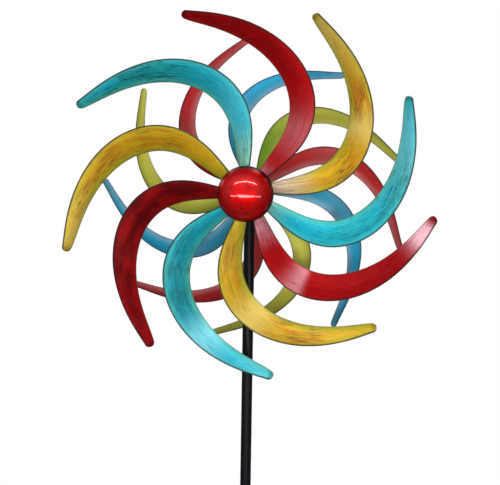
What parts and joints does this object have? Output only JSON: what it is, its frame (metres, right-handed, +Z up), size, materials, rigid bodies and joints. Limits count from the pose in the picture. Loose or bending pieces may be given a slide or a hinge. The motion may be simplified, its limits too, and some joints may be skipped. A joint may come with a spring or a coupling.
{
  "type": "wind spinner",
  "caption": "Garden wind spinner: two rotors of curved sickle blades turn opposite ways on one axle, atop a sectioned pole with a two-prong ground stake.",
  "frame": {"origin": "middle of the step bar's underside, at the soil line", "axes": "+Z up the pole, -Y forward along the axle to the ball, +X to the right as seen from the front"},
  "size_m": [0.5867, 0.2103, 1.8821],
  "materials": {
    "black_paint": "satin black powder coat",
    "zinc": "zinc plated",
    "bronze": "sintered bronze",
    "cast_alloy": "as cast",
    "ball_red": "gloss candy lacquer",
    "red": "hand-brushed metallic lacquer over steel",
    "cyan": "hand-brushed metallic lacquer over steel",
    "yellow": "hand-brushed metallic lacquer over steel",
    "dull_red": "sprayed metallic lacquer over steel",
    "blue": "sprayed metallic lacquer over steel",
    "olive": "sprayed metallic lacquer over steel"
  },
  "bodies": {
    "root": {"step_bar": "black_paint", "prong_left": "black_paint", "prong_right": "black_paint", "stake_spigot": "black_paint", "lower_pole": "black_paint", "middle_pole": "black_paint", "upper_pole": "black_paint", "head_tee": "black_paint", "stake_screw": "zinc", "lower_joint_screw": "zinc", "upper_joint_screw": "zinc", "head_screw": "zinc", "axle": "zinc", "front_inner_washer": "zinc", "front_spacer": "zinc", "front_thrust_washer": "zinc", "rear_inner_washer": "zinc", "rear_spacer": "zinc", "rear_thrust_washer": "zinc", "front_lock_nut": "zinc", "rear_cap_nut": "zinc"},
    "front_rotor": {"front_hub": "cast_alloy", "front_bush_outer": "bronze", "front_bush_inner": "bronze", "ball_seat": "black_paint", "ball": "ball_red", "ball_seat_screw_1": "zinc", "ball_seat_screw_2": "zinc", "ball_seat_screw_3": "zinc", "front_blade_1": "yellow", "front_blade_2": "red", "front_blade_3": "cyan", "front_blade_4": "yellow", "front_blade_5": "red", "front_blade_6": "cyan", "front_blade_7": "yellow", "front_blade_8": "red", "front_blade_9": "cyan"},
    "rear_rotor": {"rear_hub": "cast_alloy", "rear_bush_outer": "bronze", "rear_bush_inner": "bronze", "rear_cover_plate": "black_paint", "rear_cover_screw_1": "zinc", "rear_cover_screw_2": "zinc", "rear_cover_screw_3": "zinc", "rear_blade_1": "olive", "rear_blade_2": "dull_red", "rear_blade_3": "blue", "rear_blade_4": "olive", "rear_blade_5": "dull_red", "rear_blade_6": "blue", "rear_blade_7": "olive", "rear_blade_8": "dull_red", "rear_blade_9": "blue"}
  },
  "joints": [
    {"name": "front_spin", "type": "hinge", "parent": "root", "child": "front_rotor", "pos_m": [0, -0.0448, 1.42], "axis": [0, -1, 0], "continuous": true},
    {"name": "rear_spin", "type": "hinge", "parent": "root", "child": "rear_rotor", "pos_m": [0, 0.0542, 1.42], "axis": [0, -1, 0], "continuous": true}
  ]
}
